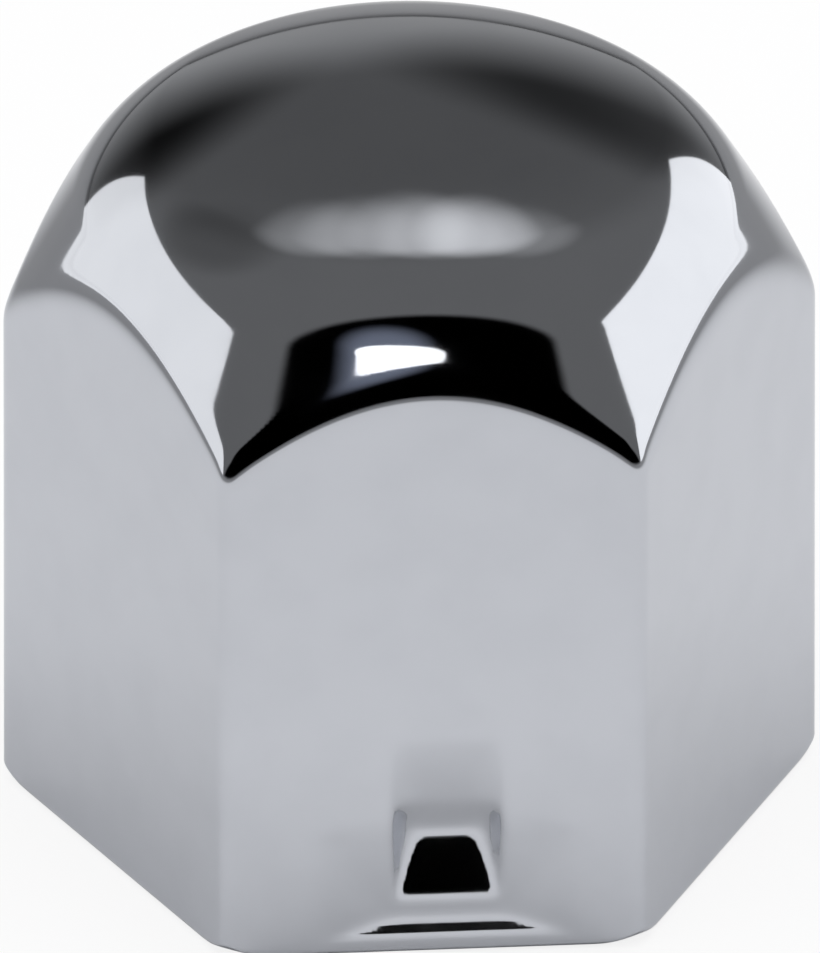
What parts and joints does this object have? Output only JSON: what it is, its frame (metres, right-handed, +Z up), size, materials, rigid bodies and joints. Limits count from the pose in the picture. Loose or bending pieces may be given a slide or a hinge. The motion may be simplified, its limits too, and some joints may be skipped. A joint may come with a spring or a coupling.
{
  "type": "lug nut cover",
  "caption": "Domed hexagonal push-on cover for a wheel nut, pressed from one chromed sheet, with inward grip dimples near its open mouth.",
  "frame": {"origin": "centre of the open mouth, in the plane of its rim, which is the plane it stands on", "axes": "+Z up along the cover's axis, from the mouth to the crown; one flat with a grip dimple faces -Y; two of the hexagon's corners lie on +X and -X"},
  "size_m": [0.047, 0.041, 0.0455],
  "materials": {
    "chrome_plate": "bright chrome plate over pressed steel, polished outside and duller inside"
  },
  "bodies": {
    "root": {"cover": "chrome_plate"}
  },
  "joints": []
}
